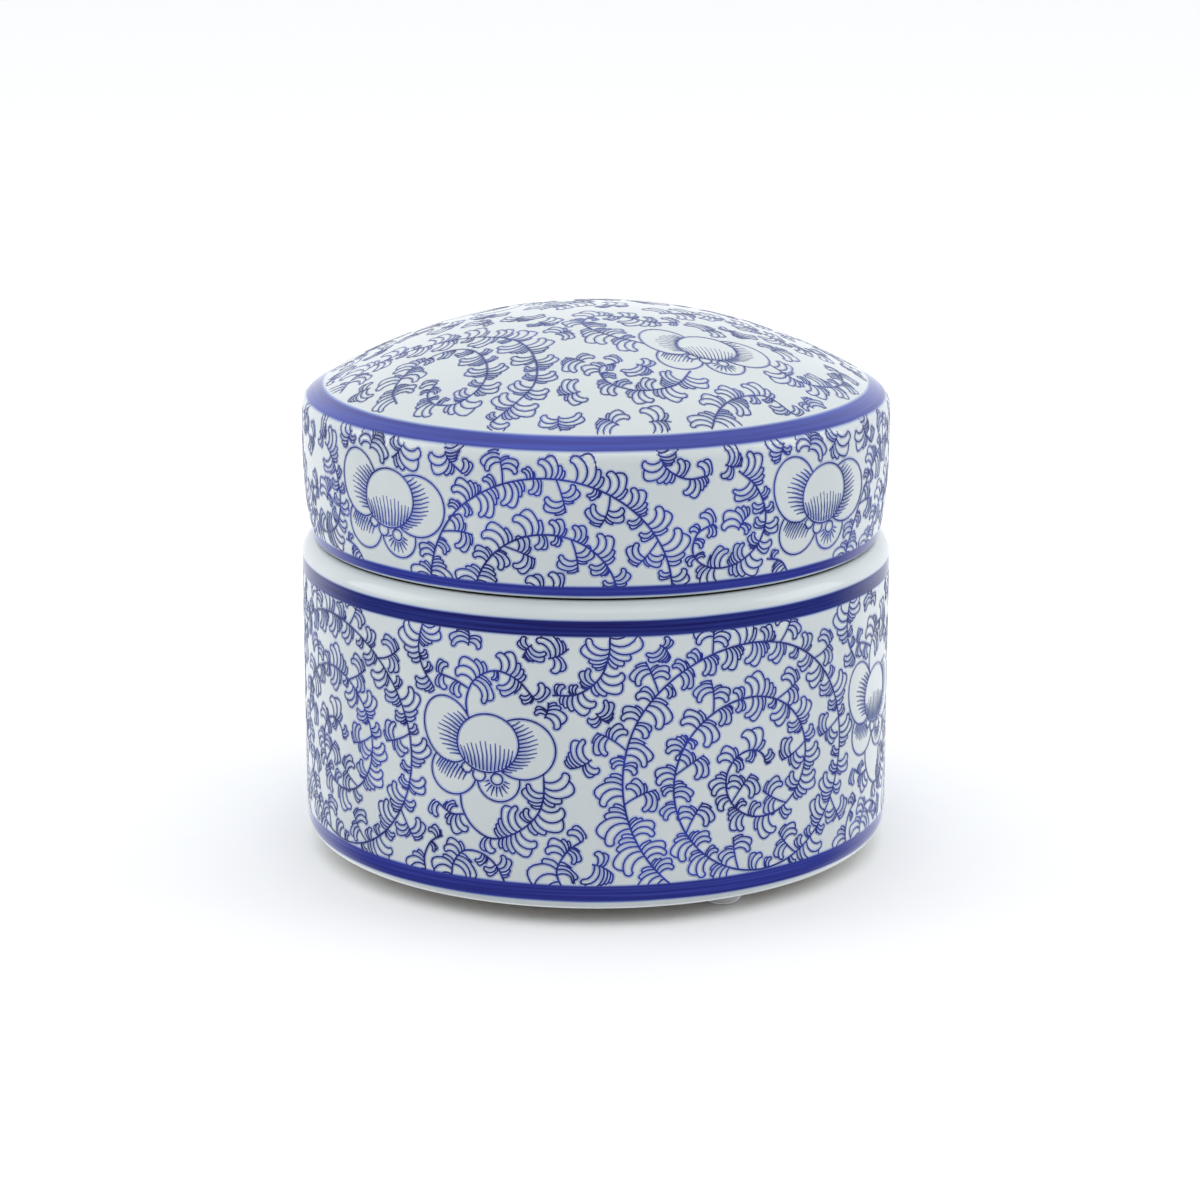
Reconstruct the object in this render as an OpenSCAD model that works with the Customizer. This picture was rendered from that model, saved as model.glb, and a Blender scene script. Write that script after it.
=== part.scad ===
// Round porcelain trinket box with a lift-off domed lid.
// Origin on the centre line, on the surface that the feet stand on. +Z is up, the front faces -Y.

/* [Body] */
// Outside diameter of the body
body_d = 150; // [144:1:156]
// Height from the underside of the body to the seat that the lid rests on
body_h = 77.8; // [60:0.2:110]
// Wall thickness of the body
body_wall = 5; // [4:0.5:6]
// Thickness of the floor, over the hollow of the underside
floor_t = 4.6; // [4:0.2:8]
// Radius of the rounded bottom edge
base_round = 5; // [3:0.5:6]
// Radius of the rounded shoulder under the lid
shoulder_round = 4; // [3:0.5:4]
// Radius inside, where the wall meets the floor
inside_round = 8; // [4:0.5:12]

/* [Underside] */
// Radius of the shallow hollow under the floor
hollow_r = 54; // [45:0.5:54]
// Depth of that hollow
hollow_depth = 1.6; // [1:0.2:2.4]

/* [Collar] */
// Height of the raised collar over the seat
collar_h = 8; // [5:0.5:12]
// Wall thickness of the collar
collar_wall = 3.5; // [3:0.25:4.5]
// Radial play between the collar and the inside of the lid
collar_play = 1; // [0.8:0.1:1.5]
// Width of the unglazed seat around the collar
seat_w = 2.4; // [2:0.1:2.6]
// Height of the seat over the shoulder, which leaves a fine gap under the lid
seat_step = 0.5; // [0.3:0.1:0.8]

/* [Lid] */
// How far the wall of the lid stands back from the wall of the body
lid_inset = 0.6; // [0.4:0.1:1]
// Height of the lid from its rim to the top of the dome
lid_h = 57.2; // [54:0.2:62]
// Radius of the sphere that the dome is cut from
dome_r = 138.2; // [134:0.2:150]
// Radius of the rounded edge between the dome and the wall
lid_round = 4.6; // [3:0.2:6]
// Thickness of the lid, at the wall and at the dome
lid_wall = 5.8; // [5.6:0.1:6.4]
// Height over which the lid wall curves inwards to its rim
draw_in_h = 22; // [16:1:24]
// How far the rim is drawn in
draw_in = 1.9; // [0.5:0.1:2]
// Radius of the rounded outer edge of the rim
rim_round = 1.4; // [0.8:0.1:1.5]

/* [Feet] */
// Diameter of a stick-on foot
foot_d = 9.5; // [8:0.5:11]
// Height of a foot
foot_h = 3.8; // [2.5:0.1:5]
// Radius of the flat that a foot stands on
foot_flat_r = 2.6; // [2:0.1:3]
// Distance from the outside of the body to the circle that the feet are on
foot_inset = 12.5; // [12:0.5:13]
// Direction of the first foot, from the front towards +X
foot_turn = 30; // [0:1:119]

/* [Hidden] */
$fn = 96;
round_steps = 10;                                  // straight steps along each rounded edge
body_r = body_d / 2;
lid_r = body_r - lid_inset;
base_z = foot_h;
seat_z = base_z + body_h;
apex_z = seat_z + lid_h;
floor_z = base_z + hollow_depth + floor_t;
inner_r = body_r - body_wall;
lid_inner_r = lid_r - lid_wall;
collar_r = lid_inner_r - collar_play;
neck_r = collar_r - collar_wall;
shoulder_z = seat_z - seat_step;
inner_shoulder_z = shoulder_z - body_wall - 1;     // where the inside starts to lean in to the neck
lean_in = inner_r - neck_r;
dome_centre_z = apex_z - dome_r;
rim_r = lid_r - draw_in;
draw_in_arc_h = draw_in_h - rim_round;
draw_in_arc_r = (draw_in_arc_h * draw_in_arc_h + draw_in * draw_in) / (2 * draw_in);
draw_in_angle = asin(draw_in_arc_h / draw_in_arc_r);
inner_edge_r = lid_round + 1.4;                    // rounding under the edge of the dome
collar_top_round = 1.5;
rim_chamfer = 0.4;
foot_ring_r = body_r - foot_inset;
foot_side_h = 1.2;

// Points of an arc round a centre, from one angle to another.
function arc(centre, r, from, to, steps = round_steps) =
    [for (i = [0 : steps]) let (a = from + (to - from) * i / steps)
        centre + r * [cos(a), sin(a)]];

// Height of the centre of a ball of radius r that rolls inside a sphere and touches a wall.
function edge_centre_z(sphere_r, wall_r, r) =
    dome_centre_z + sqrt(pow(sphere_r - r, 2) - pow(wall_r - r, 2));

// Direction from the sphere's centre to the point where that ball touches the sphere.
function edge_angle(sphere_r, wall_r, r) = acos((wall_r - r) / (sphere_r - r));

// Outline of a domed edge: up the wall, round the edge and over the dome to the centre line.
function dome_outline(sphere_r, wall_r, r) =
    let (a = edge_angle(sphere_r, wall_r, r))
    concat(
        arc([wall_r - r, edge_centre_z(sphere_r, wall_r, r)], r, 0, a),
        arc([0, dome_centre_z], sphere_r, a, 90, 4 * round_steps));

function reversed(points) = [for (i = [len(points) - 1 : -1 : 0]) points[i]];

// Thrown body: foot ring, wall, rounded shoulder, unglazed seat and raised collar, open at the top.
module body() {
    outside = concat(
        [[0, base_z + hollow_depth], [hollow_r - hollow_depth, base_z + hollow_depth],
         [hollow_r, base_z]],
        arc([body_r - base_round, base_z + base_round], base_round, -90, 0),
        arc([body_r - shoulder_round, shoulder_z - shoulder_round], shoulder_round, 0, 90),
        [[collar_r + seat_w, shoulder_z], [collar_r + seat_w, seat_z], [collar_r, seat_z]]);
    collar_top = concat(
        arc([collar_r - collar_top_round, seat_z + collar_h - collar_top_round],
            collar_top_round, 0, 90),
        arc([neck_r + collar_top_round, seat_z + collar_h - collar_top_round],
            collar_top_round, 90, 180));
    inside = concat(
        [[neck_r, inner_shoulder_z + lean_in], [inner_r, inner_shoulder_z]],
        arc([inner_r - inside_round, floor_z + inside_round], inside_round, 0, -90),
        [[0, floor_z]]);
    color("aliceblue") rotate_extrude() polygon(concat(outside, collar_top, inside));
}

// Cast lid: the wall curves in to a flat unglazed rim and the dome closes the top.
module lid() {
    rim = [[lid_inner_r, seat_z + rim_chamfer], [lid_inner_r + rim_chamfer, seat_z]];
    outside = concat(
        arc([rim_r - rim_round, seat_z + rim_round], rim_round, -90, 0),
        arc([lid_r - draw_in_arc_r, seat_z + draw_in_h], draw_in_arc_r, -draw_in_angle, 0),
        dome_outline(dome_r, lid_r, lid_round));
    inside = reversed(dome_outline(dome_r - lid_wall, lid_inner_r, inner_edge_r));
    color("aliceblue") rotate_extrude() polygon(concat(rim, outside, inside));
}

// Clear stick-on foot with a rounded edge and a flat underside.
module foot(turn) {
    foot_r = foot_d / 2;
    foot_round = foot_r - foot_flat_r;
    profile = concat(
        [[0, 0]],
        arc([foot_flat_r, foot_round], foot_round, -90, 0),
        [[foot_r, foot_h - foot_side_h], [foot_r, foot_h], [0, foot_h]]);
    color("gainsboro")
        rotate([0, 0, turn]) translate([0, -foot_ring_r, 0])
            rotate_extrude() polygon(profile);
}

module foot_1() foot(foot_turn);
module foot_2() foot(foot_turn + 120);
module foot_3() foot(foot_turn + 240);

body();
lid();
foot_1();
foot_2();
foot_3();
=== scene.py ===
import math
import random
from math import atan2, cos, hypot, pi, radians, sin, sqrt

import bpy
import numpy as np
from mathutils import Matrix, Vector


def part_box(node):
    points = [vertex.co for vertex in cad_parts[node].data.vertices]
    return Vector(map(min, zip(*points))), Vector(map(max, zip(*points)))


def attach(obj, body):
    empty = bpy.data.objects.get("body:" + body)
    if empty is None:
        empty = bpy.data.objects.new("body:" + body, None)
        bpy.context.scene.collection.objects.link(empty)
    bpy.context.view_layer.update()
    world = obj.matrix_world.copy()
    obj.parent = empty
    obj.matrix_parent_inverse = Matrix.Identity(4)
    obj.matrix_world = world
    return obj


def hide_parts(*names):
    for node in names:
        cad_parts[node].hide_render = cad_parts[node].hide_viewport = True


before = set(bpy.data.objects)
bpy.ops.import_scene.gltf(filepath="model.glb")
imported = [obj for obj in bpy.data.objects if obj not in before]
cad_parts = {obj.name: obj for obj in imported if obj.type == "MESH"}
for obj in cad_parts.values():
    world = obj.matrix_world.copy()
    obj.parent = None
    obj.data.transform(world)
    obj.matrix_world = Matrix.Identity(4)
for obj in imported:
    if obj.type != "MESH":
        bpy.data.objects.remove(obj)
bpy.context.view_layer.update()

MM = 0.001

# ---------------------------------------------------------------- camera, floor and studio light
# A long lens looks slightly down on the box. The floor is a plain pale sheet, and the light is soft and
# even: a panel at each side, one high in front, and a room that is brightest above and behind.
CAMERA_BACK = 0.8889
CAMERA_UP = 0.2965
CAMERA_TILT = 14.75
CAMERA_LENS = 107.1
CAMERA_SHIFT = 0.00347
FLOOR_SIZE = 14
ROOM_BRIGHTNESS = 1.3
SIDE_POWER, FRONT_POWER = 4.6, 2.5
BOX_MIDDLE = (0, 0, 0.07)


def plain_nodes(name):
    """A new material with its node tree and its shader."""
    material = bpy.data.materials.new(name)
    material.use_nodes = True
    return material, material.node_tree, material.node_tree.nodes["Principled BSDF"]


def node(tree, kind, **settings):
    """A shader node with its settings; inputs are given as in_NAME or in_NUMBER."""
    made = tree.nodes.new("ShaderNode" + kind)
    for key, value in settings.items():
        if key.startswith("in_"):
            socket = key[3:]
            socket = int(socket) if socket.isdigit() else socket.replace("_", " ")
            made.inputs[socket].default_value = value
        else:
            setattr(made, key, value)
    return made


bpy.ops.object.select_all(action="DESELECT")
bpy.ops.object.camera_add(location=(0, -CAMERA_BACK, CAMERA_UP),
                          rotation=(radians(90 - CAMERA_TILT), 0, 0))
camera = bpy.context.object
camera.name = "camera"
camera.data.lens = CAMERA_LENS
camera.data.sensor_width = 36
camera.data.shift_x = CAMERA_SHIFT
camera.data.clip_end = 50
bpy.context.scene.camera = camera

bpy.ops.mesh.primitive_grid_add(x_subdivisions=2, y_subdivisions=2, size=FLOOR_SIZE)
floor = bpy.context.object
floor.name = "floor"
floor_paper, tree, shader = plain_nodes("pale paper")
grain = node(tree, "TexNoise", in_Scale=90.0, in_Detail=4.0)
tone = node(tree, "ValToRGB")
tone.color_ramp.elements[0].color = (0.93, 0.93, 0.93, 1)
tone.color_ramp.elements[1].color = (0.95, 0.95, 0.95, 1)
tree.links.new(node(tree, "TexCoord").outputs["Object"], grain.inputs["Vector"])
tree.links.new(grain.outputs["Fac"], tone.inputs["Fac"])
tree.links.new(tone.outputs["Color"], shader.inputs["Base Color"])
shader.inputs["Roughness"].default_value = 0.9
floor.data.materials.append(floor_paper)
floor.visible_glossy = False

room = bpy.data.worlds.new("bright room")
room.use_nodes = True
tree = room.node_tree
toward = node(tree, "SeparateXYZ")
tree.links.new(node(tree, "TexCoord").outputs["Generated"], toward.inputs["Vector"])
above = node(tree, "ValToRGB")
above.color_ramp.elements[0].position, above.color_ramp.elements[0].color = 0.0, (0.05, 0.055, 0.07, 1)
above.color_ramp.elements[1].position, above.color_ramp.elements[1].color = 1.0, (0.98, 0.98, 0.96, 1)
for height, brightness in ((0.02, 0.26), (0.35, 0.42), (0.65, 0.80)):
    step = above.color_ramp.elements.new(height)
    step.color = (0.96 * brightness, 0.98 * brightness, brightness, 1)
tree.links.new(toward.outputs["Z"], above.inputs["Fac"])
behind = node(tree, "MapRange", interpolation_type="SMOOTHSTEP")
behind.inputs["From Min"].default_value = 0.1
behind.inputs["From Max"].default_value = 0.75
tree.links.new(toward.outputs["Y"], behind.inputs["Value"])
sky = node(tree, "Mix", data_type="RGBA")
sky.inputs["B"].default_value = (0.82, 0.845, 0.875, 1)
tree.links.new(behind.outputs["Result"], sky.inputs["Factor"])
tree.links.new(above.outputs["Color"], sky.inputs["A"])
# seen straight on, the room is a plain white backdrop from every side
backdrop = node(tree, "Mix", data_type="RGBA")
backdrop.inputs["B"].default_value = (0.80, 0.80, 0.80, 1)
tree.links.new(node(tree, "LightPath").outputs["Is Camera Ray"], backdrop.inputs["Factor"])
tree.links.new(sky.outputs["Result"], backdrop.inputs["A"])
tree.links.new(backdrop.outputs["Result"], tree.nodes["Background"].inputs["Color"])
tree.nodes["Background"].inputs["Strength"].default_value = ROOM_BRIGHTNESS
bpy.context.scene.world = room
bpy.context.scene.view_settings.view_transform = "Standard"
bpy.context.scene.view_settings.look = "None"


def light_panel(name, place, width, height, power):
    """A soft rectangular light that faces the middle of the box."""
    bpy.ops.object.light_add(type="AREA", location=place)
    panel = bpy.context.object
    panel.name = name
    panel.data.shape = "RECTANGLE"
    panel.data.size = width
    panel.data.size_y = height
    panel.data.energy = power
    away = [p - m for p, m in zip(place, BOX_MIDDLE)]
    panel.rotation_euler = (atan2(hypot(away[0], away[1]), away[2]), 0, atan2(away[0], -away[1]))


light_panel("left panel", (-1.3, 0.0, 0.6), 0.9, 0.9, SIDE_POWER)
light_panel("right panel", (1.3, 0.0, 0.6), 0.9, 0.9, SIDE_POWER)
light_panel("front panel", (0.2, -1.2, 1.5), 1.2, 0.6, FRONT_POWER)

# ---------------------------------------------------------------- body
# The body is thrown in porcelain: a foot ring, a straight wall, a rounded shoulder and an inner collar
# that the lid fits over. Bands are painted round it by hand, and it is glazed white inside and out,
# apart from the seat under the lid and the foot ring, which are wiped bare before firing.
body_low, body_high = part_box("body")
BODY_R = body_high[0] / MM
BASE_Z = body_low[2] / MM
COLLAR_TOP_Z = body_high[2] / MM
SEAT_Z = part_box("lid")[0][2] / MM
BODY_WALL = 5.0
BASE_ROUND = 5.0
SHOULDER_ROUND = 4.0
INSIDE_ROUND = 8.0
HOLLOW_R, HOLLOW_DEPTH, FLOOR_T = 54.0, 1.6, 4.6
SEAT_STEP, SEAT_W = 0.5, 2.4
COLLAR_R, COLLAR_WALL, COLLAR_ROUND = 67.6, 3.5, 1.5
FLOOR_RING_R = 30
PAINT_DEPTH = 3
NEAR = 0.1
AROUND = 288


def arc(cx, cz, r, start, end, steps=10):
    """Points of an arc in an outline, with its angles in degrees."""
    return [(cx + r * cos(radians(start + (end - start) * i / steps)),
             cz + r * sin(radians(start + (end - start) * i / steps))) for i in range(steps + 1)]


def close_ring(shape, r, z):
    """Draws one open ring of a turned shape in to a point on the centre line."""
    bpy.ops.object.mode_set(mode="OBJECT")
    for v in shape.data.vertices:
        v.select = abs(v.co.z - z * MM) < 1e-6 and abs(hypot(v.co.x, v.co.y) - r * MM) < 2e-6
    bpy.ops.object.mode_set(mode="EDIT")
    bpy.ops.mesh.extrude_region_move()
    bpy.ops.mesh.merge(type="CENTER")


def turned(name, outline):
    """Turns a closed shape: a ring is drawn out through the outline, and both ends close to a point."""
    bpy.ops.object.select_all(action="DESELECT")
    r, z = outline[0]
    bpy.ops.mesh.primitive_circle_add(vertices=AROUND, radius=r * MM, location=(0, 0, z * MM))
    shape = bpy.context.object
    shape.name = shape.data.name = name
    bpy.ops.object.transform_apply()
    bpy.ops.object.mode_set(mode="EDIT")
    bpy.ops.mesh.select_mode(type="VERT")
    bpy.ops.mesh.select_all(action="SELECT")
    for next_r, next_z in outline[1:]:
        bpy.ops.mesh.extrude_region_move(TRANSFORM_OT_translate={"value": (0, 0, (next_z - z) * MM)})
        bpy.ops.transform.resize(value=(next_r / r, next_r / r, 1), center_override=(0, 0, next_z * MM))
        r, z = next_r, next_z
    close_ring(shape, *outline[0])
    close_ring(shape, *outline[-1])
    bpy.ops.mesh.select_all(action="SELECT")
    bpy.ops.mesh.normals_make_consistent(inside=False)
    bpy.ops.object.mode_set(mode="OBJECT")
    bpy.ops.object.shade_smooth_by_angle(angle=radians(40))
    return shape


def glaze(name, bands, keep_outside):
    """White glazed porcelain with painted bands: each is (low z, high z, paint) in millimetres."""
    material, tree, shader = plain_nodes(name)
    link = tree.links.new
    place = node(tree, "TexCoord")
    xyz = node(tree, "SeparateXYZ")
    link(place.outputs["Object"], xyz.inputs["Vector"])
    # the clay's faint clouding under the glaze
    cloud = node(tree, "TexNoise", in_Scale=26.0, in_Detail=3.0)
    link(place.outputs["Object"], cloud.inputs["Vector"])
    white = node(tree, "ValToRGB")
    white.color_ramp.elements[0].position, white.color_ramp.elements[1].position = 0.35, 0.7
    white.color_ramp.elements[0].color = (0.575, 0.62, 0.635, 1)
    white.color_ramp.elements[1].color = (0.615, 0.655, 0.665, 1)
    link(cloud.outputs["Fac"], white.inputs["Fac"])
    colour = white.outputs["Color"]
    # a brush held against the turning pot leaves a slightly wavy edge and long streaks
    wave = node(tree, "TexNoise", in_Scale=45.0, in_Detail=2.0)
    link(place.outputs["Object"], wave.inputs["Vector"])
    wobble = node(tree, "MapRange", in_To_Min=-0.16 * MM, in_To_Max=0.16 * MM)
    link(wave.outputs["Fac"], wobble.inputs["Value"])
    height = node(tree, "Math", operation="ADD")
    link(xyz.outputs["Z"], height.inputs[0])
    link(wobble.outputs["Result"], height.inputs[1])
    stretch = node(tree, "Mapping")
    stretch.inputs["Scale"].default_value = (16, 16, 1500)
    link(place.outputs["Object"], stretch.inputs["Vector"])
    streak = node(tree, "TexNoise", in_Scale=1.0, in_Detail=3.0, in_Roughness=0.6)
    link(stretch.outputs["Vector"], streak.inputs["Vector"])
    radius = node(tree, "VectorMath", operation="LENGTH")
    flat = node(tree, "CombineXYZ")
    link(xyz.outputs["X"], flat.inputs["X"])
    link(xyz.outputs["Y"], flat.inputs["Y"])
    link(flat.outputs["Vector"], radius.inputs[0])
    outside = node(tree, "Math", operation="GREATER_THAN", in_1=keep_outside * MM)
    link(radius.outputs["Value"], outside.inputs[0])

    def ramp_in(edge, soft, rising):
        made = node(tree, "MapRange", interpolation_type="SMOOTHSTEP")
        made.inputs["From Min"].default_value = (edge - soft) * MM
        made.inputs["From Max"].default_value = (edge + soft) * MM
        made.inputs["To Min"].default_value = 0 if rising else 1
        made.inputs["To Max"].default_value = 1 if rising else 0
        link(height.outputs["Value"], made.inputs["Value"])
        return made.outputs["Result"]

    def times(a, b):
        made = node(tree, "Math", operation="MULTIPLY")
        link(a, made.inputs[0])
        if isinstance(b, float):
            made.inputs[1].default_value = b
        else:
            link(b, made.inputs[1])
        return made.outputs["Value"]

    def over(under, mask, paint):
        made = node(tree, "Mix", data_type="RGBA")
        link(mask, made.inputs["Factor"])
        link(under, made.inputs["A"])
        if isinstance(paint, tuple):
            made.inputs["B"].default_value = paint
        else:
            link(paint, made.inputs["B"])
        return made.outputs["Result"]

    for low, high, deep, bright, edge in bands:
        halo = times(times(ramp_in(low - 0.1, 0.3, True), ramp_in(high + 0.1, 0.3, False)),
                     outside.outputs["Value"])
        core = times(times(ramp_in(low + 0.2, 0.25, True), ramp_in(high - 0.2, 0.25, False)),
                     outside.outputs["Value"])
        paint = node(tree, "ValToRGB")
        paint.color_ramp.elements[0].position, paint.color_ramp.elements[1].position = 0.40, 0.66
        paint.color_ramp.elements[0].color = deep
        paint.color_ramp.elements[1].color = bright
        link(streak.outputs["Fac"], paint.inputs["Fac"])
        colour = over(colour, times(halo, 0.75), edge)
        colour = over(colour, core, paint.outputs["Color"])
    link(colour, shader.inputs["Base Color"])
    # the glaze is smooth and wet-looking, with the slightest orange peel
    peel = node(tree, "TexNoise", in_Scale=140.0, in_Detail=1.0)
    link(place.outputs["Object"], peel.inputs["Vector"])
    bump = node(tree, "Bump", in_Strength=0.05, in_Distance=0.0004)
    link(peel.outputs["Fac"], bump.inputs["Height"])
    link(bump.outputs["Normal"], shader.inputs["Normal"])
    shader.inputs["Roughness"].default_value = 0.10
    shader.inputs["IOR"].default_value = 1.5
    return material


def bare_clay(name, dark, light):
    """Unglazed fired porcelain: matt, a little warm and dusty."""
    material, tree, shader = plain_nodes(name)
    link = tree.links.new
    place = node(tree, "TexCoord")
    speck = node(tree, "TexNoise", in_Scale=420.0, in_Detail=5.0, in_Roughness=0.7)
    link(place.outputs["Object"], speck.inputs["Vector"])
    tone = node(tree, "ValToRGB")
    tone.color_ramp.elements[0].position, tone.color_ramp.elements[1].position = 0.3, 0.7
    tone.color_ramp.elements[0].color = dark
    tone.color_ramp.elements[1].color = light
    link(speck.outputs["Fac"], tone.inputs["Fac"])
    link(tone.outputs["Color"], shader.inputs["Base Color"])
    bump = node(tree, "Bump", in_Strength=0.3, in_Distance=0.0002)
    link(speck.outputs["Fac"], bump.inputs["Height"])
    link(bump.outputs["Normal"], shader.inputs["Normal"])
    shader.inputs["Roughness"].default_value = 0.75
    return material


def wipe_bare(shape, low, high, inner_r, outer_r, finish=1):
    """Gives the faces in a ring the bare clay, or another of the shape's materials, such as the seam's
    painted shade.
    """
    for face in shape.data.polygons:
        r, z = hypot(face.center.x, face.center.y) / MM, face.center.z / MM
        if low < z < high and inner_r < r < outer_r:
            face.material_index = finish


FLOOR_Z = BASE_Z + HOLLOW_DEPTH + FLOOR_T
SHOULDER_Z = SEAT_Z - SEAT_STEP
NECK_R = COLLAR_R - COLLAR_WALL
BODY_INNER_R = BODY_R - BODY_WALL
INNER_SHOULDER_Z = SHOULDER_Z - BODY_WALL - 1
LEAN_IN = BODY_INNER_R - NECK_R
body_outline = [(HOLLOW_R - HOLLOW_DEPTH, BASE_Z + HOLLOW_DEPTH), (HOLLOW_R, BASE_Z)]
body_outline += arc(BODY_R - BASE_ROUND, BASE_Z + BASE_ROUND, BASE_ROUND, -90, 0)
body_outline += arc(BODY_R - SHOULDER_ROUND, SHOULDER_Z - SHOULDER_ROUND, SHOULDER_ROUND, 0, 90)
body_outline += [(COLLAR_R + SEAT_W, SHOULDER_Z), (COLLAR_R + SEAT_W, SEAT_Z), (COLLAR_R, SEAT_Z)]
body_outline += arc(COLLAR_R - COLLAR_ROUND, COLLAR_TOP_Z - COLLAR_ROUND, COLLAR_ROUND, 0, 90, 5)
body_outline += arc(NECK_R + COLLAR_ROUND, COLLAR_TOP_Z - COLLAR_ROUND, COLLAR_ROUND, 90, 180, 5)
body_outline += [(NECK_R, INNER_SHOULDER_Z + LEAN_IN), (BODY_INNER_R, INNER_SHOULDER_Z)]
body_outline += arc(BODY_INNER_R - INSIDE_ROUND, FLOOR_Z + INSIDE_ROUND, INSIDE_ROUND, 0, -90)
body_outline += [(FLOOR_RING_R, FLOOR_Z)]
body = turned("porcelain_body", body_outline)
NAVY, NAVY_BRIGHT = (0.010, 0.010, 0.105, 1), (0.022, 0.036, 0.215, 1)
COBALT, COBALT_BRIGHT = (0.022, 0.026, 0.205, 1), (0.040, 0.055, 0.33, 1)
ROYAL, ROYAL_BRIGHT = (0.012, 0.022, 0.25, 1), (0.026, 0.052, 0.38, 1)
PALE_EDGE = (0.20, 0.30, 0.62, 1)
BODY_LOW_BAND = (6.6, 11.2, COBALT, COBALT_BRIGHT, PALE_EDGE)
BODY_TOP_BAND = (72.9, 77.2, NAVY, NAVY_BRIGHT, PALE_EDGE)
body.data.materials.append(glaze("body glaze", [BODY_LOW_BAND, BODY_TOP_BAND], BODY_R - PAINT_DEPTH))
BARE = bare_clay("bare porcelain", (0.50, 0.47, 0.42, 1), (0.66, 0.63, 0.57, 1))
# the bare step outside the seat is darkened nearly to black: painted shade of the gap under the lid's rim
SEAM_PAINTED_SHADE = bare_clay("bare seam with painted shade", (0.040, 0.030, 0.024, 1), (0.085, 0.066, 0.052, 1))
body.data.materials.append(BARE)
body.data.materials.append(SEAM_PAINTED_SHADE)
wipe_bare(body, SHOULDER_Z - NEAR, SEAT_Z + NEAR, COLLAR_R - NEAR, COLLAR_R + SEAT_W + NEAR)
wipe_bare(body, BASE_Z - NEAR, BASE_Z + NEAR, HOLLOW_R - NEAR, BODY_R - BASE_ROUND + NEAR)
# the flat step between the seat and the shoulder gets the painted shade of the gap under the lid
wipe_bare(body, SHOULDER_Z - NEAR, SEAT_Z - NEAR / 2, COLLAR_R + SEAT_W - NEAR, BODY_R - SHOULDER_ROUND, 2)
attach(body, "box")
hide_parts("body")

# ---------------------------------------------------------------- printed vine of the body
# The vine is a line print laid on the bare clay from flat sheets, four to a turn, and glazed over. A
# stem carries tufts of lobes that lie back along it, and blossoms and loose sprigs fill the space.
CELL = 0.3
STEM_W, LINE_W, HATCH_W, BLEED_W = 0.52, 0.46, 0.48, 1.1
HATCH_TIP = 0.35
LEAF_SHOWN, SPRIG_SHOWN = 0.6, 0.85
LINE_LIFT, LINE_THICK = 0.02, 0.018
BLEED_LIFT, BLEED_THICK, BLEED_MARGIN = 0.007, 0.006, 0.7


def drawn(x, y, heading, length, turn, steps=5):
    """An arc that leaves a point on a heading and turns by an angle over its length."""
    points = [(x, y)]
    for i in range(steps):
        lean = heading + turn * (i + 0.5) / steps
        x += length / steps * cos(lean)
        y += length / steps * sin(lean)
        points.append((x, y))
    return points


def rounded_end(a, leave, b, arrive, reach, steps):
    """A round tip from one point to another, with the headings that it leaves and arrives on."""
    p = (a[0] + reach * cos(leave), a[1] + reach * sin(leave))
    q = (b[0] - reach * cos(arrive), b[1] - reach * sin(arrive))
    points = []
    for i in range(1, steps + 1):
        t, u = i / steps, 1 - i / steps
        points.append(tuple(u ** 3 * a[k] + 3 * u * u * t * p[k] + 3 * u * t * t * q[k] + t ** 3 * b[k]
                            for k in (0, 1)))
    return points


def smooth_line(knots, step=1.1):
    """A smooth line through a few knots."""
    first = tuple(2 * knots[0][k] - knots[1][k] for k in (0, 1))
    last = tuple(2 * knots[-1][k] - knots[-2][k] for k in (0, 1))
    ends = [first] + list(knots) + [last]
    points = [tuple(knots[0])]
    for a, b, c, d in zip(ends, ends[1:], ends[2:], ends[3:]):
        count = max(2, int(hypot(c[0] - b[0], c[1] - b[1]) / step))
        for i in range(1, count + 1):
            t = i / count
            points.append(tuple(0.5 * (2 * b[k] + (c[k] - a[k]) * t
                                       + (2 * a[k] - 5 * b[k] + 4 * c[k] - d[k]) * t * t
                                       + (3 * b[k] - a[k] - 3 * c[k] + d[k]) * t ** 3) for k in (0, 1)))
    return points


def coil(cx, cy, r, start, held, pitch, r_end, step=1.1):
    """A clockwise spiral that keeps its radius over `held` and then winds in by `pitch` a turn."""
    points, angle = [], start
    while r > r_end:
        points.append((cx + r * cos(angle), cy + r * sin(angle)))
        moved = min(step / r, 0.35)
        angle -= moved
        if start - angle > held:
            r -= pitch * moved / (2 * pi)
    return points


class Stem:
    """A line that tufts grow from: a place and a heading at each distance along it."""

    def __init__(self, points):
        self.points = points
        self.far = [0.0]
        for a, b in zip(points, points[1:]):
            self.far.append(self.far[-1] + hypot(b[0] - a[0], b[1] - a[1]))
        self.length = self.far[-1]

    def at(self, s):
        inside = min(max(s, 0.0), self.length)
        i = int(np.searchsorted(self.far, inside, side="right")) - 1
        i = min(max(i, 0), len(self.points) - 2)
        a, b = self.points[i], self.points[i + 1]
        before, after = self.points[max(0, i - 1)], self.points[min(len(self.points) - 1, i + 2)]
        f = (inside - self.far[i]) / (self.far[i + 1] - self.far[i])
        h0, h1 = atan2(b[1] - before[1], b[0] - before[0]), atan2(after[1] - a[1], after[0] - a[0])
        heading = h0 + f * ((h1 - h0 + pi) % (2 * pi) - pi)
        past = s - inside
        return (a[0] + f * (b[0] - a[0]) + past * cos(heading),
                a[1] + f * (b[1] - a[1]) + past * sin(heading), heading)


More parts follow.
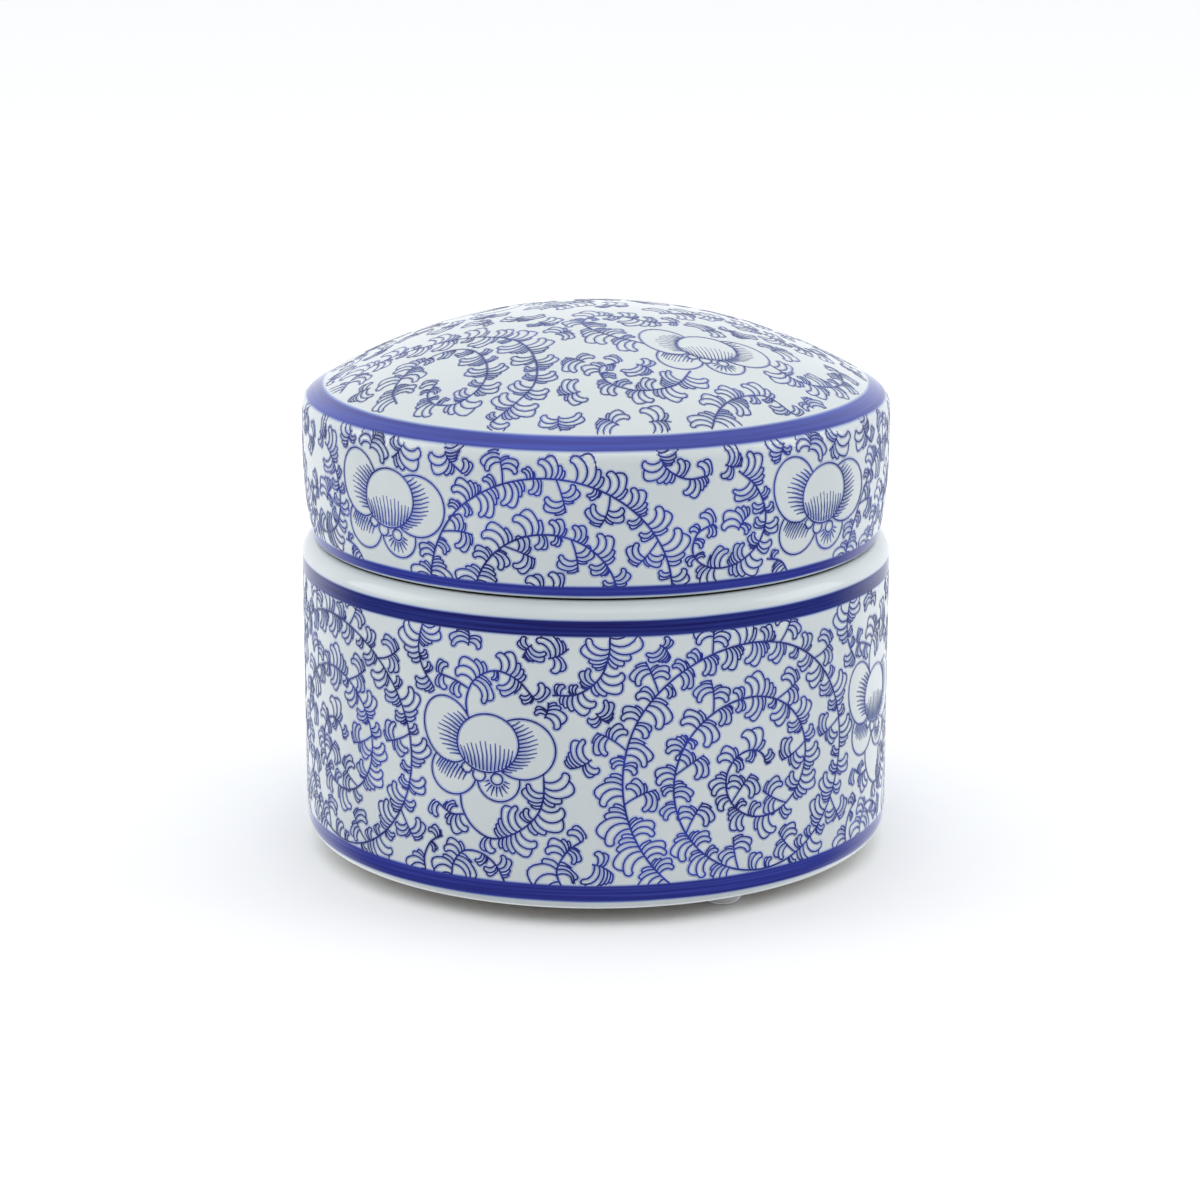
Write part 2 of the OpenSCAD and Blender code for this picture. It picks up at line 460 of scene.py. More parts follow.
def tuft(stem, s, side, lobes, size, fan=0.4):
    """One tuft on one side of a stem: lobes that arch back along it, the claw at its root the largest."""
    ribs = []
    for i in range(lobes + 1):
        f = i / lobes
        x, y, heading = stem.at(s + 0.30 * (1 - 0.45 * fan) * size * i * (1 - 0.2 * f))
        length = size * (1 - 0.66 * max(0, i - 1) / max(1, lobes - 1))
        start = heading + side * (1.02 - (0.05 + 0.75 * fan) * f)
        turn = side * (1.30 - 0.45 * f)
        if i == 1:
            length, turn = 1.24 * length, side * 2.05
        elif i == 0:
            length, start, turn = 0.78 * length, heading + side * 1.16, side * 1.4
        ribs.append((drawn(x, y, start, length, turn, 7 if i < 2 else 5), start + turn))
    strokes = [ribs[0][0]]
    for i in range(1, lobes + 1):
        rib, heading = ribs[i]
        under, under_heading = ribs[i - 1]
        if i == 1:
            end = under[-1]
            arrive, fullness, steps = under_heading + pi + side * 0.7, 0.80, 6
        else:
            end = tuple(under[-2][k] + 0.55 * (under[-1][k] - under[-2][k]) for k in (0, 1))
            arrive, fullness, steps = heading + side * 2.1, 0.66, 6 if i == 2 else 4
        reach = fullness * hypot(rib[-1][0] - end[0], rib[-1][1] - end[1])
        strokes.append(rib + rounded_end(rib[-1], heading, end, arrive, reach, steps))
    return strokes


def claw(x, y, heading, size, side):
    """One hooked leaf on a short stalk."""
    stalk = Stem(drawn(x, y, heading, 0.55 * size, side * 0.3, 2))
    return [stalk.points] + tuft(stalk, 0.3 * size, side, 1, size)


class Sheet:
    """A flat printed sheet in millimetres, with a grid that keeps its lines apart."""

    def __init__(self, repeat, inside, seed, apart=0.72):
        self.repeat, self.inside = repeat, inside
        self.columns = int(round(repeat / CELL)) if repeat else None
        self.near = {}
        self.strokes = []
        self.owners = 0
        self.dice = random.Random(seed)
        reach = int(apart / CELL) + 1
        self.disc = [(i, j) for i in range(-reach, reach + 1) for j in range(-reach, reach + 1)
                     if hypot(i, j) * CELL <= apart]

    def new_owner(self):
        """A number for one group of lines, which may touch each other."""
        self.owners += 1
        return self.owners

    def cell(self, x, y):
        """The grid cell of a point, carried round where the sheet repeats."""
        column = int(x // CELL)
        return (column % self.columns if self.columns else column, int(y // CELL))

    def cells(self, strokes):
        """All the cells that some lines cross."""
        found = set()
        for points in strokes:
            for a, b in zip(points, points[1:]):
                steps = max(1, int(hypot(b[0] - a[0], b[1] - a[1]) / (0.8 * CELL)))
                for i in range(steps + 1):
                    f = i / steps
                    found.add(self.cell(a[0] + f * (b[0] - a[0]), a[1] + f * (b[1] - a[1])))
        return found

    def free(self, strokes, owner):
        """True if the lines keep clear of every other owner's."""
        return all(self.near.get(c, owner) == owner for c in self.cells(strokes))

    def claim(self, cells, owner, keep=None):
        """Takes the ground round some cells. `keep` holds on to its own, and shared ground is barred."""
        for i, j in cells:
            for di, dj in self.disc:
                column = (i + di) % self.columns if self.columns else i + di
                spot = (column, j + dj)
                if self.near.get(spot) != keep or keep is None:
                    self.near[spot] = owner if self.near.get(spot, owner) == owner else 0

    def put(self, strokes, owner, width=LINE_W, keep=None, tip=1.0):
        """Adds lines to the print and takes the ground round them."""
        self.strokes += [(points, width, tip) for points in strokes]
        self.claim(self.cells(strokes), owner, keep)

    def shown(self, strokes):
        """How much of some lines lies on the printed field, from 0 to 1."""
        points = [p for stroke in strokes for p in stroke]
        return sum(self.inside(*p) for p in points) / len(points)

    def stem(self, points, fronts=()):
        """Draws a stem behind the shapes in front of it."""
        owner = self.new_owner()
        self.put(uncovered(points, fronts), owner, STEM_W)
        return Stem(points), owner

    def twigs(self, grown, start, spacing, size):
        """Short side stems with a few lobes and a claw at the end, where there is room for them."""
        stem, owner = grown
        s = start
        while s < stem.length - 6:
            for side in self.dice.sample((1, -1), 2):
                x, y, heading = stem.at(s)
                lean, bend = self.dice.uniform(0.8, 1.2), self.dice.uniform(0.1, 0.7)
                for length in (1.35 * size, 1.1 * size):
                    twig = Stem(drawn(x, y, heading + side * lean, length, side * bend, 7))
                    strokes = [twig.points[1:]] + tuft(twig, 0.42 * length, -side, 3, 0.62 * size)
                    strokes += tuft(twig, 0.62 * length, side, 3, 0.72 * size)
                    if self.shown(strokes) > LEAF_SHOWN and self.free(strokes[1:], owner):
                        self.put([twig.points] + strokes[1:], self.new_owner(), keep=owner)
                        s += 0.4 * size
                        break
                else:
                    continue
                break
            s += spacing * self.dice.uniform(0.7, 1.3)

    def tufts(self, grown, start, size, tip, end=None, lobes=(3, 5), rest=(1.3, 3.6)):
        """Tufts up both sides of a stem, smaller towards its tip, wherever there is room."""
        stem, owner = grown
        end = stem.length if end is None else end
        for side in (1, -1):
            strokes = tuft(stem, end - 0.9, side, 2, 0.84 * tip)
            if end == stem.length and self.shown(strokes) > LEAF_SHOWN and self.free(strokes, owner):
                self.put(strokes, self.new_owner(), keep=owner)
        for side, s in ((1, start), (-1, start + 2.8)):
            while s < end - 1.2:
                full = (size + (tip - size) * s / stem.length) * self.dice.uniform(0.80, 1.12)
                count = self.dice.randint(*lobes)
                pause = self.dice.uniform(*rest)
                fan = self.dice.uniform(0.0, 0.9)
                for shrink, fewer in ((1, 0), (0.88, 0), (0.76, 1), (0.64, 1), (0.52, 2)):
                    k = max(2, count - fewer)
                    strokes = tuft(stem, s, side, k, full * shrink, fan)
                    if self.shown(strokes) > LEAF_SHOWN and self.free(strokes, owner):
                        own = self.new_owner()
                        self.put(strokes, own, keep=owner)
                        self.lone_claw(strokes, side, full * shrink, own)
                        s += 0.26 * (1 - 0.45 * fan) * full * shrink * k + pause
                        break
                else:
                    s += 1.1

    def lone_claw(self, strokes, side, size, owner):
        """Now and then a claw stands on the outer edge of a tuft."""
        if self.dice.random() > 0.22 or len(strokes) < 5:
            return
        (x0, y0), (x1, y1) = strokes[3][:2]
        x, y = strokes[3][5]
        leaf = claw(x, y, atan2(y1 - y0, x1 - x0) + side * 0.1, 0.66 * size, side)
        if self.free([leaf[1][2:]] + leaf[2:], None):
            self.put(leaf, owner)

    def fill(self, spots, sizes):
        """Loose sprigs, larger ones first, in what is left blank."""
        self.dice.shuffle(spots)
        for size in sizes:
            for x, y in spots:
                heading = self.dice.uniform(0, 2 * pi)
                bend = self.dice.choice((-0.7, 0.7))
                big, small, trim = self.dice.choice(((3, 3, 0.9), (5, 2, 0.6), (4, 3, 0.75), (4, 2, 0.65)))
                side = self.dice.choice((-1, 1))
                if not self.free([[(x, y), (x + 0.1, y)]], -1):
                    continue
                for turn in range(6):
                    stem = Stem(drawn(x, y, heading + turn * pi / 3, size, bend))
                    sprig = [stem.points] + tuft(stem, 0.1 * size, side, big, size, 0.6)
                    sprig += tuft(stem, 0.2 * size, -side, small, trim * size, 0.6)
                    if self.shown(sprig) > SPRIG_SHOWN and self.free(sprig, -1):
                        self.put(sprig, self.new_owner())
                        break


def round_spots(width, low, high):
    """Where loose sprigs may start on a sheet that runs round a wall."""
    return [((i + 0.5 * (j % 2)) * 1.9, low + 0.6 + 1.65 * j)
            for i in range(int(width / 1.9)) for j in range(int((high - low) / 1.65))]


def oval(x, y, rx, ry, tilt, steps=56):
    """The closed outline of an oval."""
    return [(x + rx * cos(a) * cos(tilt) - ry * sin(a) * sin(tilt),
             y + rx * cos(a) * sin(tilt) + ry * sin(a) * cos(tilt))
            for a in (2 * pi * i / steps for i in range(steps + 1))]


def covers(shape, x, y):
    """True if an oval covers a point."""
    cx, cy, rx, ry, tilt = shape
    dx, dy = x - cx, y - cy
    return hypot((dx * cos(tilt) + dy * sin(tilt)) / rx, (dy * cos(tilt) - dx * sin(tilt)) / ry) < 1


def kept_runs(points, kept):
    """The runs of a line on kept ground, each drawn right up to the edge of it."""
    runs, run = [], [points[0]] if kept(*points[0]) else []
    for a, b in zip(points, points[1:]):
        if kept(*a) != kept(*b):
            good, bad = (a, b) if kept(*a) else (b, a)
            for _ in range(5):
                middle = (0.5 * (good[0] + bad[0]), 0.5 * (good[1] + bad[1]))
                good, bad = (middle, bad) if kept(*middle) else (good, middle)
            run.append(good)
        if kept(*b):
            run.append(b)
        elif run:
            runs.append(run)
            run = []
    return [r for r in runs + [run] if len(r) > 1]


def uncovered(points, fronts):
    """The runs of a line that no shape in front covers."""
    return kept_runs(points, lambda x, y: not any(covers(shape, x, y) for shape in fronts))


def blossom(sheet, x, y, size=1.0, turn=0.0):
    """A round bud in front of four petals, with three beads at its foot and hatched shading."""
    def place(px, py):
        return (x + size * (px * cos(turn) - py * sin(turn)),
                y + size * (px * sin(turn) + py * cos(turn)))

    def shape(px, py, rx, ry, tilt=0.0):
        return (*place(px, py), rx * size, ry * size, tilt + turn)

    bud = shape(0, 0, 8.0, 7.3, 0.15)
    left_petal = shape(-10.4, 2.4, 6.6, 8.4, 0.35)
    right_petal = shape(8.8, -0.8, 8.2, 7.6)
    low_left_petal = shape(-9.0, -7.8, 6.2, 6.0, 0.4)
    low_petal = shape(2.8, -9.2, 5.4, 5.2)
    beads = [shape(-5.4, -6.6, 1.4, 1.3), shape(-2.2, -8.1, 1.65, 1.6), shape(2.4, -8.8, 1.5, 1.4)]
    owner = sheet.new_owner()
    sheet.put([oval(*bud)], owner)
    for petal, fronts in ((left_petal, [bud]), (right_petal, [bud]),
                          (low_left_petal, [bud, left_petal] + beads),
                          (low_petal, [bud, right_petal, low_left_petal] + beads)):
        sheet.put(uncovered(oval(*petal), fronts), owner)
    for i, bead in enumerate(beads):
        sheet.put(uncovered(oval(*bead, steps=18), [bud] + beads[:i]), owner)

    def hatch(count, root, heading, length):
        strokes = []
        for i in range(count):
            f = i / (count - 1)
            (hx, hy), lean = root(f), heading(f)
            reach = length * (0.52 + 0.48 * sin(pi * f)) * (0.92 if i % 3 == 1 else 1)
            strokes.append([place(*p) for p in drawn(hx, hy, lean - 0.14, reach, 0.28, 2)])
        sheet.put(strokes, owner, HATCH_W * size, tip=HATCH_TIP)

    def round_bud(start, end, grow=0.0):
        return lambda f: ((8.0 + grow) * cos(start + (end - start) * f),
                          (7.3 + grow) * sin(start + (end - start) * f))

    hatch(13, lambda f: (-5.8 + 11.4 * f, -6.9 * sqrt(1 - ((-5.8 + 11.4 * f) / 8.0) ** 2)),
          lambda f: pi / 2 + 0.36 - 0.60 * f, 7.4)
    hatch(12, round_bud(radians(134), radians(208), 0.1), lambda f: radians(140 + 44 * f), 5.6)
    hatch(15, round_bud(radians(40), radians(-62), 0.1), lambda f: radians(33 - 40 * f), 5.0)
    hatch(10, lambda f: (-12.6 + 7.2 * f, -5.2 - 2.6 * f ** 2.6), lambda f: radians(236 + 6 * f), 4.8)
    hatch(9, lambda f: (2.4 + 2.0 * cos(radians(195 + 150 * f)), -8.8 + 1.9 * sin(radians(195 + 150 * f))),
          lambda f: radians(195 + 150 * f), 2.8)
    petals = [bud, left_petal, right_petal, low_left_petal, low_petal]
    reach = 22 * size
    steps = int(2 * reach / CELL)
    sheet.claim({sheet.cell(px, py)
                 for px in (x - reach + i * CELL for i in range(steps))
                 for py in (y - reach + i * CELL for i in range(steps))
                 if any(covers(s, px, py) for s in petals)}, owner)
    return petals


def cobalt(name, dense, thin):
    """Underglaze blue, dense where the print took well and thinner where it did not."""
    material, tree, shader = plain_nodes(name)
    link = tree.links.new
    place = node(tree, "TexCoord")
    patch = node(tree, "TexNoise", in_Scale=38.0, in_Detail=5.0, in_Roughness=0.7)
    link(place.outputs["Object"], patch.inputs["Vector"])
    tone = node(tree, "ValToRGB")
    tone.color_ramp.elements[0].position, tone.color_ramp.elements[1].position = 0.38, 0.66
    tone.color_ramp.elements[0].color = dense
    tone.color_ramp.elements[1].color = thin
    link(patch.outputs["Fac"], tone.inputs["Fac"])
    link(tone.outputs["Color"], shader.inputs["Base Color"])
    shader.inputs["Roughness"].default_value = 0.10
    return material


INK = cobalt("cobalt line", (0.010, 0.012, 0.105, 1), (0.034, 0.054, 0.375, 1))
BLEED = cobalt("cobalt bleed", (0.45, 0.535, 0.80, 1), (0.50, 0.58, 0.82, 1))


def ridges(name, runs, width_of, lift, thick):
    """Low closed ridges along flat lines: `lift` is their height and `thick` their half thickness."""
    bpy.ops.object.select_all(action="DESELECT")
    line = bpy.data.curves.new(name, "CURVE")
    line.dimensions = "2D"
    line.fill_mode = "NONE"
    line.bevel_depth = 1.0
    line.bevel_resolution = 0
    line.use_fill_caps = True
    for points, width, tip in runs:
        last = len(points) - 1
        spline = line.splines.new("POLY")
        spline.points.add(last)
        spline.points.foreach_set("co", [c for x, y in points for c in (x, y, 0, 1)])
        spline.points.foreach_set("radius", [width_of(width) / 2 * (1 + (tip - 1) * i / last)
                                             for i in range(last + 1)])
    made = bpy.data.objects.new(name, line)
    bpy.context.collection.objects.link(made)
    bpy.context.view_layer.objects.active = made
    made.select_set(True)
    bpy.ops.object.convert(target="MESH")
    made = bpy.context.object
    flat = np.empty(3 * len(made.data.vertices))
    made.data.vertices.foreach_get("co", flat)
    flat[2::3] = lift + thick * np.sign(np.round(flat[2::3], 3))
    made.data.vertices.foreach_set("co", flat)
    return made


def printed(name, sheet, lay, body_name, shift=0.0, weight=1.0, bleed_step=1):
    """Lays a sheet on the clay: `lay` takes its lines, and their faint bleed, from flat to the surface."""
    def well_inside(x, y):
        return all(sheet.inside(x + dx * BLEED_MARGIN, y + dy * BLEED_MARGIN)
                   for dx, dy in ((1, 0), (-1, 0), (0, 1), (0, -1)))

    runs = [(run, width, tip) for points, width, tip in sheet.strokes
            for run in kept_runs(points, sheet.inside)]
    short = [(run[:-1:bleed_step] + run[-1:], width, tip) for points, width, tip in sheet.strokes
             for run in kept_runs(points, well_inside)]
    bleed = ridges(name + "_bleed", short, lambda width: BLEED_W * weight, BLEED_LIFT, BLEED_THICK)
    bleed.data.materials.append(BLEED)
    lines = ridges(name, runs, lambda width: width * weight, LINE_LIFT, LINE_THICK)
    lines.data.materials.append(INK)
    bleed.select_set(True)
    bpy.ops.object.join()
    made = bpy.context.object
    flat = np.empty(3 * len(made.data.vertices))
    made.data.vertices.foreach_get("co", flat)
    flat = flat.reshape(-1, 3)
    made.data.vertices.foreach_set("co", (lay(flat[:, 0] + shift, flat[:, 1], flat[:, 2]) * MM).ravel())
    made.data.update()
    bpy.ops.object.mode_set(mode="EDIT")
    bpy.ops.mesh.select_all(action="SELECT")
    bpy.ops.mesh.normals_make_consistent(inside=False)
    bpy.ops.object.mode_set(mode="OBJECT")
    bpy.ops.object.shade_smooth()
    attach(made, body_name)
    return made


def body_sheet():
    """One of the four sheets round the body; x is zero at the front and y is the height."""
    low, high = BODY_LOW_BAND[1] - 0.3, BODY_TOP_BAND[0] + 0.3
    width = BODY_R * pi / 2
    sheet = Sheet(width, lambda x, y: low < y < high, seed=12)
    petals = blossom(sheet, -26.6, 45.5)
    coiled = sheet.stem(coil(41, 36.8, 34.6, radians(232), radians(80), 13.6, 2.6))
    over_petal = sheet.stem(smooth_line([(-31.6, 50.9), (-32, 56), (-29.8, 61), (-24.5, 63.8),
                                         (-19, 62), (-14.6, 57.4)]), petals)
    left_branch = sheet.stem(smooth_line([(-31, 58.5), (-35, 60.4), (-39.5, 61.5)]))
    under_petals = sheet.stem(smooth_line([(-12.6, 40), (-12.6, 33), (-14.5, 28), (-19.5, 23.6),
                                           (-25.5, 21.6), (-30.5, 24), (-33.4, 28.6), (-33.8, 34)]),
                              petals)
    low_branch = sheet.stem(smooth_line([(-32.6, 27), (-36.4, 26.6), (-40.4, 29)]))
    hanging_left = sheet.stem(smooth_line([(3.4, 74), (3, 68), (0.6, 62.6), (-4.4, 59), (-10.4, 58.6)]))
    hanging_right = sheet.stem(smooth_line([(74, 74), (72.5, 68), (73.5, 62.5), (77, 57.5)]))
    rising_left = sheet.stem(smooth_line([(-36.5, 10), (-36, 14), (-33, 17.6), (-28.4, 17.6),
                                          (-24.5, 14.8), (-22, 10)]))
    rising_mid = sheet.stem(smooth_line([(-8, 10), (-9.5, 14.5), (-7, 19.5), (-3, 22.5)]))
    rising_right = sheet.stem(smooth_line([(74, 10), (73.4, 14), (75.4, 18.4), (79, 20.6)]))
    sheet.twigs(coiled, 26, 14, 6.4)
    sheet.tufts(coiled, 3, 6.3, 4.8)
    sheet.tufts(over_petal, 3.4, 6.0, 5.0)
    sheet.tufts(left_branch, 1.5, 5.2, 4.0, lobes=(3, 4))
    sheet.tufts(under_petals, 3, 6.2, 5.2, end=27)
    sheet.tufts(low_branch, 1.4, 5.4, 4.4, lobes=(3, 4))
    sheet.tufts(hanging_left, 1, 6.2, 4.8)
    sheet.tufts(hanging_right, 1, 6.0, 4.6)
    sheet.tufts(rising_left, 1, 5.8, 4.8)
    sheet.tufts(rising_mid, 1, 6.0, 4.8)
    sheet.tufts(rising_right, 1, 5.8, 4.6)
    sheet.fill(round_spots(width, low, high), (5.8, 4.8, 4.3))
    return sheet


def on_body(x, y, z):
    """Wraps a flat sheet round the straight wall of the body."""
    turn = x / BODY_R
    return np.stack([(BODY_R + z) * np.sin(turn), -(BODY_R + z) * np.cos(turn), y], axis=1)


body_print = body_sheet()
for i in range(4):
    printed(f"body_vine_{i + 1}", body_print, on_body, "box", shift=(i - 1) * body_print.repeat)

# ---------------------------------------------------------------- feet
# Three clear stick-on pads keep the bare foot ring off a table. Each is a small soft moulded disc with
# a rounded edge and a flat underside, pressed on to the unglazed ring.
FOOT_R, FOOT_H, FOOT_FLAT_R = 4.75, 3.8, 2.6
FOOT_ROUND = FOOT_R - FOOT_FLAT_R


def clear_pad():
    """Soft clear plastic with a faint haze."""
    material, tree, shader = plain_nodes("clear pad")
    haze = node(tree, "TexNoise", in_Scale=300.0, in_Detail=2.0)
    tree.links.new(node(tree, "TexCoord").outputs["Object"], haze.inputs["Vector"])
    tone = node(tree, "ValToRGB")
    tone.color_ramp.elements[0].color = (0.86, 0.87, 0.87, 1)
    tone.color_ramp.elements[1].color = (0.93, 0.94, 0.94, 1)
    tree.links.new(haze.outputs["Fac"], tone.inputs["Fac"])
    tree.links.new(tone.outputs["Color"], shader.inputs["Base Color"])
    shader.inputs["Roughness"].default_value = 0.22
    shader.inputs["IOR"].default_value = 1.45
    shader.inputs["Transmission Weight"].default_value = 0.35
    return material


CLEAR_PAD = clear_pad()
for number in (1, 2, 3):
    (x0, y0, _), (x1, y1, _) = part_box(f"foot_{number}")
    bpy.ops.object.select_all(action="DESELECT")
    bpy.ops.mesh.primitive_cylinder_add(vertices=64, radius=FOOT_R * MM, depth=FOOT_H * MM,
                                        location=((x0 + x1) / 2, (y0 + y1) / 2, FOOT_H / 2 * MM))
    pad = bpy.context.object
    pad.name = pad.data.name = f"clear_pad_{number}"
    bpy.ops.object.transform_apply()
    bpy.ops.object.mode_set(mode="EDIT")
    bpy.ops.mesh.select_all(action="DESELECT")
    bpy.ops.object.mode_set(mode="OBJECT")
    for edge in pad.data.edges:
        edge.select = all(pad.data.vertices[v].co.z < 1e-6 for v in edge.vertices)
    bpy.ops.object.mode_set(mode="EDIT")
    bpy.ops.mesh.bevel(offset=FOOT_ROUND * MM, segments=8, profile=0.5)
    bpy.ops.object.mode_set(mode="OBJECT")
    bpy.ops.object.shade_smooth_by_angle(angle=radians(50))
    pad.data.materials.append(CLEAR_PAD)
    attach(pad, "box")
    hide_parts(f"foot_{number}")

# ---------------------------------------------------------------- lid
# The lid is cast in one piece: its wall draws in to a flat rim that is left bare to sit on the body, and
# a shallow dome closes the top over a rounded edge. Bands are painted over the edge and above the rim.
LID_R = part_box("lid")[1][0] / MM
APEX_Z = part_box("lid")[1][2] / MM
DOME_R = 138.2
DOME_Z = APEX_Z - DOME_R
LID_ROUND, LID_WALL, INNER_EDGE = 4.6, 5.8, 6.0
DRAW_IN, DRAW_IN_H, RIM_ROUND, RIM_CHAMFER = 1.9, 22.0, 1.4, 0.4
LID_INNER_R = LID_R - LID_WALL
RIM_R = LID_R - DRAW_IN
DRAW_IN_ARC_H = DRAW_IN_H - RIM_ROUND
DRAW_IN_ARC_R = (DRAW_IN_ARC_H ** 2 + DRAW_IN ** 2) / (2 * DRAW_IN)


def dome_edge(sphere_r, wall_r, r):
    """Where a rounded edge sits under a dome: its centre height and where it meets the dome."""
    centre_z = DOME_Z + sqrt((sphere_r - r) ** 2 - (wall_r - r) ** 2)
    return centre_z, math.degrees(math.acos((wall_r - r) / (sphere_r - r)))


EDGE_Z, EDGE_ANGLE = dome_edge(DOME_R, LID_R, LID_ROUND)
INNER_Z, INNER_ANGLE = dome_edge(DOME_R - LID_WALL, LID_INNER_R, INNER_EDGE)
inside = arc(LID_INNER_R - INNER_EDGE, INNER_Z, INNER_EDGE, 0, INNER_ANGLE)
inside += arc(0, DOME_Z, DOME_R - LID_WALL, INNER_ANGLE, 88, 24)[1:]
lid_outline = inside[::-1]
lid_outline += [(LID_INNER_R, SEAT_Z + RIM_CHAMFER), (LID_INNER_R + RIM_CHAMFER, SEAT_Z)]
lid_outline += arc(RIM_R - RIM_ROUND, SEAT_Z + RIM_ROUND, RIM_ROUND, -90, 0, 6)
sweep = math.degrees(math.asin(DRAW_IN_ARC_H / DRAW_IN_ARC_R))
lid_outline += arc(LID_R - DRAW_IN_ARC_R, SEAT_Z + DRAW_IN_H, DRAW_IN_ARC_R, -sweep, 0, 12)[1:]
lid_outline += arc(LID_R - LID_ROUND, EDGE_Z, LID_ROUND, 0, EDGE_ANGLE, 12)
lid_outline += arc(0, DOME_Z, DOME_R, EDGE_ANGLE, 88.5, 36)[1:]
lid = turned("porcelain_lid", lid_outline)
LID_LOW_BAND = (82.2, 85.0, COBALT, COBALT_BRIGHT, PALE_EDGE)
LID_EDGE_BAND = (117.4, 120.5, ROYAL, ROYAL_BRIGHT, PALE_EDGE)
lid.data.materials.append(glaze("lid glaze", [LID_LOW_BAND, LID_EDGE_BAND], LID_INNER_R + 0.06))
lid.data.materials.append(BARE)
wipe_bare(lid, SEAT_Z - NEAR, SEAT_Z + NEAR, LID_INNER_R, RIM_R - RIM_ROUND + NEAR)
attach(lid, "lid")
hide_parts("lid")

# ---------------------------------------------------------------- printed vine of the lid wall
# The same print goes round the lid between its two bands, cut shorter, with its blossoms set a little
# off those of the body. The wall is straight above and draws in towards the rim.


def lid_wall_sheet():
    """One of the four sheets round the lid; x is zero at the front and y is the height."""
    low, high = LID_LOW_BAND[1] - 0.3, LID_EDGE_BAND[0] + 0.3
    width = LID_R * pi / 2
    sheet = Sheet(width, lambda x, y: low < y < high, seed=23)
    petals = blossom(sheet, -54.5, 102.3)
    coiled = sheet.stem(coil(-9.5, 79.5, 33.4, radians(196), radians(60), 13.6, 4.0), fronts=petals)
    under = sheet.stem(smooth_line([(35, 111.5), (40, 107), (42.8, 100), (41, 93), (35, 88.6),
                                    (28, 88.4), (23.6, 92), (24.4, 97), (28.4, 99.2)]))
    hanging = sheet.stem(smooth_line([(14, 119), (16.6, 113.6), (21.6, 110.6), (27, 111)]))
    low_right = sheet.stem(smooth_line([(52, 83), (48.6, 87.4), (43.8, 88.8)]))
    over = sheet.stem(smooth_line([(-38, 119), (-36.6, 114.6), (-32.4, 111)]))
    sheet.twigs(coiled, 10, 15, 6.2)
    sheet.tufts(coiled, 2, 6.1, 5.0)
    sheet.tufts(under, 1.4, 5.8, 4.6)
    sheet.tufts(hanging, 1, 5.6, 4.6)
    sheet.tufts(low_right, 1, 5.2, 4.2, lobes=(3, 4))
    sheet.tufts(over, 1, 5.4, 4.2)
    sheet.fill(round_spots(width, low, high), (5.8, 4.8, 4.3))
    return sheet


def on_lid_wall(x, y, z):
    """Wraps a flat sheet round the lid's wall, in with its curve near the rim and over its edge."""
    below = np.minimum(y - SEAT_Z - DRAW_IN_H, 0)
    above = np.maximum(y - EDGE_Z, 0)
    r = LID_R - DRAW_IN_ARC_R + np.sqrt(DRAW_IN_ARC_R ** 2 - below ** 2) + z
    r -= LID_ROUND - np.sqrt(LID_ROUND ** 2 - above ** 2)
    turn = x / LID_R
    return np.stack([r * np.sin(turn), -r * np.cos(turn), y], axis=1)


lid_print = lid_wall_sheet()
for i in range(4):
    printed(f"lid_vine_{i + 1}", lid_print, on_lid_wall, "lid", shift=(i - 1) * lid_print.repeat)

# ---------------------------------------------------------------- printed vine of the dome
# A round sheet covers the dome inside the painted edge: one large scroll, blossoms to either side and
# short stems between them, with loose sprigs run in under the band.


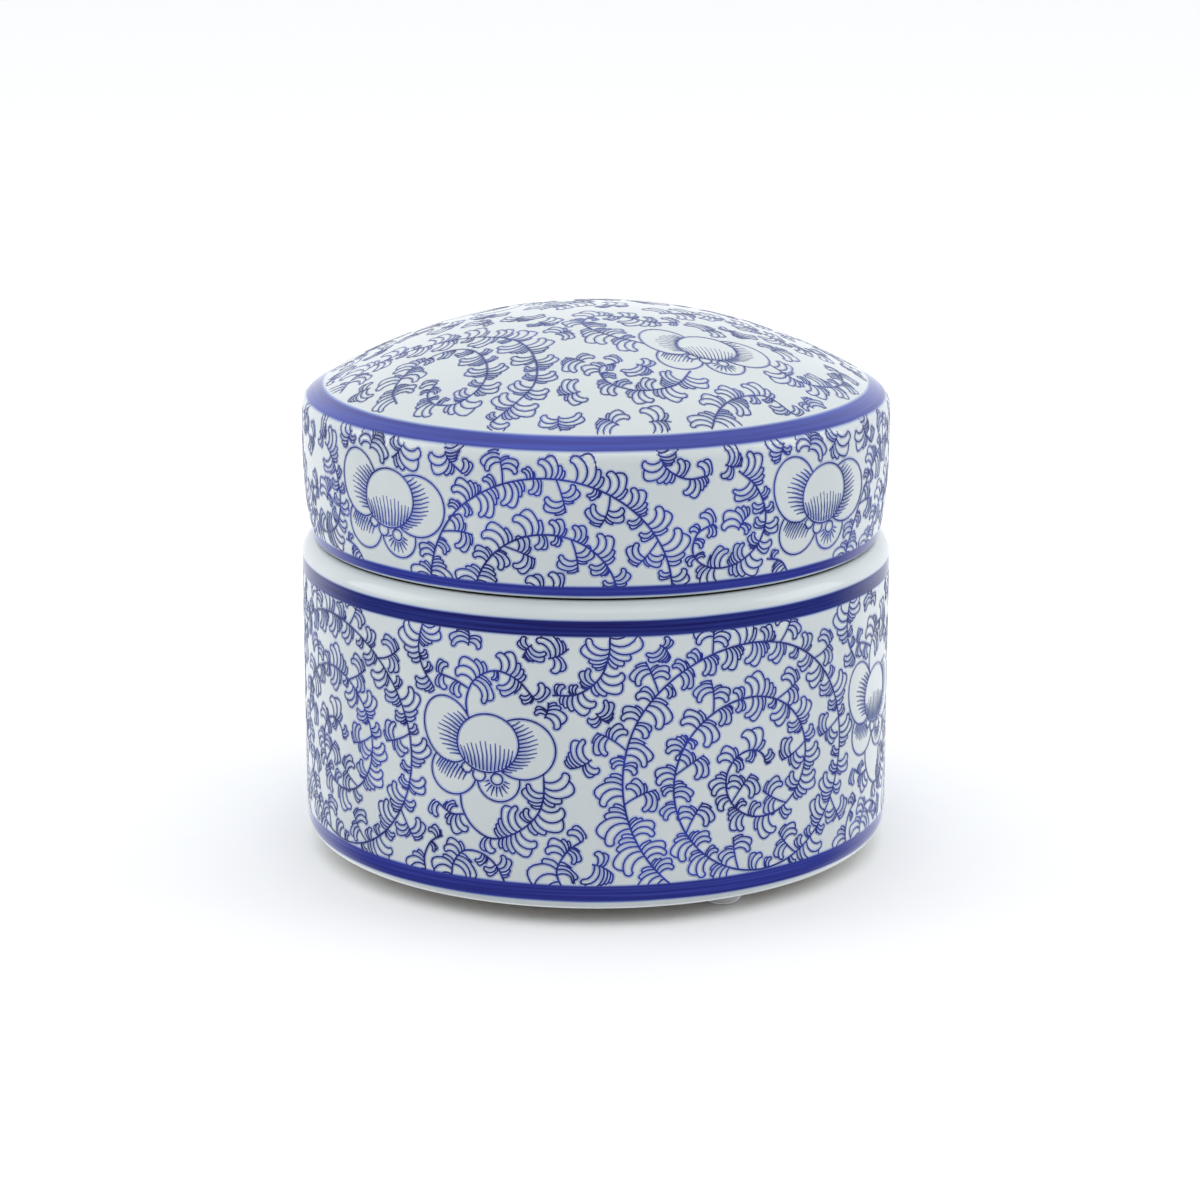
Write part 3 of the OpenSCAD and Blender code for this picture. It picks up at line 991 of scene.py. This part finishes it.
def dome_sheet():
    """The round sheet, in millimetres along the dome from its top; -y is the front."""
    sheet = Sheet(None, lambda x, y: hypot(x, y) < 71.6, seed=41, apart=0.95)
    petals = blossom(sheet, 27.6, -27, 0.95, radians(12))
    petals += blossom(sheet, -33, 22, 0.95, radians(150))
    petals += blossom(sheet, 30, 38, 0.95, radians(255))
    outer = sheet.stem(smooth_line([(-66, -24), (-62, -17), (-53.5, -13.6), (-43, -14.6), (-30, -18),
                                    (-19.6, -26), (-15, -38), (-15, -50), (-20, -58), (-26, -64)]))
    inner = sheet.stem(smooth_line([(-50, -45), (-51, -37), (-46, -27.6), (-38, -23.4), (-31, -26.6),
                                    (-27, -37), (-28, -47), (-34, -53), (-40, -51), (-42, -45.6),
                                    (-39.6, -41)]))
    below = sheet.stem(smooth_line([(23.4, -42), (19.5, -50), (10.6, -54), (3, -51), (1, -44.4),
                                    (5.6, -41.4)]), fronts=petals)
    across = sheet.stem(smooth_line([(12, -30), (3, -25.6), (-3, -18), (-1, -11), (6, -10.4),
                                     (14, -13.6), (20, -11)]), fronts=petals)
    right_low = sheet.stem(smooth_line([(28.6, -66), (30.4, -57.6), (35, -50.4), (42.5, -46),
                                        (49.6, -50)]))
    right_high = sheet.stem(smooth_line([(43, -27), (51, -31.6), (59, -28), (63.6, -20),
                                         (63, -11)]), fronts=petals)
    over_top = sheet.stem(smooth_line([(16, -4), (24, 2), (34, 3), (44, -2), (52, -4), (60, 2)]))
    back_arch = sheet.stem(smooth_line([(-14, 0), (-6, 8), (0, 18), (2, 30), (-4, 41), (-14, 47),
                                        (-25, 46), (-32, 40)]), fronts=petals)
    back_rise = sheet.stem(smooth_line([(-2, 70), (2, 60), (9, 53), (14, 44), (12, 34), (16, 25),
                                        (24, 20)]), fronts=petals)
    left_rise = sheet.stem(smooth_line([(-70, 4), (-62, 6), (-56, 14), (-54, 24), (-58, 34)]))
    left_back = sheet.stem(smooth_line([(-50, 52), (-46, 44), (-50, 36)]))
    right_back = sheet.stem(smooth_line([(69, 18), (60, 18), (53, 24), (50, 33), (53, 42)]))
    for grown, start, size, tip in ((outer, 2, 6.6, 5.6), (inner, 2, 6.2, 5.0), (below, 3, 6.0, 4.8),
                                    (across, 2, 6.0, 4.8), (right_low, 1, 5.8, 4.6),
                                    (right_high, 2, 5.8, 4.6), (over_top, 1, 6.0, 4.8),
                                    (back_arch, 1, 6.3, 5.0), (back_rise, 1, 6.3, 5.0),
                                    (left_rise, 1, 6.0, 4.8), (left_back, 1, 5.6, 4.6),
                                    (right_back, 1, 6.0, 4.8)):
        sheet.tufts(grown, start, size, tip, rest=(1.8, 4.0))
    spots = [(-72 + (i + 0.5 * (j % 2)) * 2.1, -72 + 1.9 * j) for i in range(69) for j in range(76)]
    sheet.fill(spots, (5.8, 4.8))
    return sheet


def on_dome(x, y, z):
    """Drapes the flat round sheet over the dome, true along every line from its top."""
    along = np.hypot(x, y)
    lean = along / DOME_R
    scale = (DOME_R + z) * np.sin(lean) / np.maximum(along, 1e-9)
    return np.stack([x * scale, y * scale, DOME_Z + (DOME_R + z) * np.cos(lean)], axis=1)


dome_print = dome_sheet()
printed("dome_vine", dome_print, on_dome, "lid", weight=0.8, bleed_step=2)
